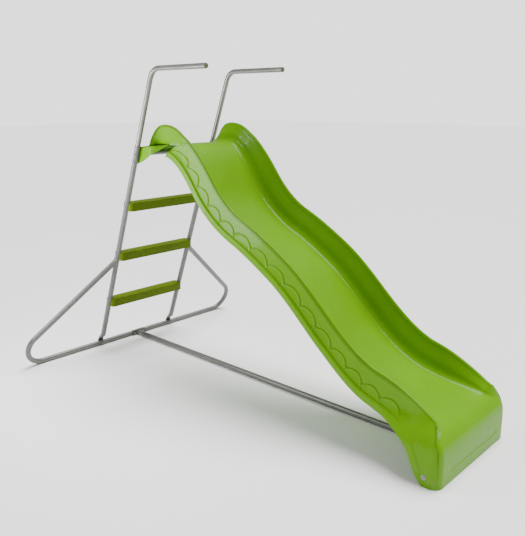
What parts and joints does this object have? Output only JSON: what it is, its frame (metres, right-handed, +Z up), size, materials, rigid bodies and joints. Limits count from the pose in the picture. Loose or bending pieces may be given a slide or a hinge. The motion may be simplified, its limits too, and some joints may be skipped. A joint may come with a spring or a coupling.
{
  "type": "wave slide",
  "caption": "Free-standing garden slide: leaning tube ladder with outriggers, moulded treads and tall handrails, and a one-piece wavy plastic chute.",
  "frame": {"origin": "on the ground, under the middle of the whole slide", "axes": "+X runs from the ladder down the slide to its foot, +Y is to the slider's left, +Z is up"},
  "size_m": [2.5173, 1.689, 1.7643],
  "materials": {
    "moulding": "satin gloss, moulded in lime green",
    "tread": "satin, moulded in olive green",
    "cap": "satin",
    "tube": "grey powder coat, satin",
    "fastener": "zinc plated"
  },
  "bodies": {
    "root": {"chute": "moulding", "right_side_tube": "tube", "left_side_tube": "tube", "right_leg": "tube", "left_leg": "tube", "right_handrail": "tube", "left_handrail": "tube", "handrail_plugs": "cap", "top_crossbar": "tube", "crossbar_inserts": "fastener", "tread_1": "tread", "tread_2": "tread", "tread_3": "tread", "base_joiner": "tube", "base_saddle": "tube", "ground_bar": "tube", "foot_cross_tube": "tube", "foot_inserts": "fastener", "tread_bolts": "fastener", "tread_nuts": "fastener", "head_bolts": "fastener", "head_nuts": "fastener", "leg_foot_bolts": "fastener", "leg_foot_nuts": "fastener", "saddle_bolts": "fastener", "saddle_nuts": "fastener", "ground_bar_bolt": "fastener", "ground_bar_nut": "fastener", "foot_side_bolts": "fastener", "foot_side_washers": "fastener", "foot_clamp_bolt": "fastener", "foot_clamp_nut": "fastener"}
  },
  "joints": []
}
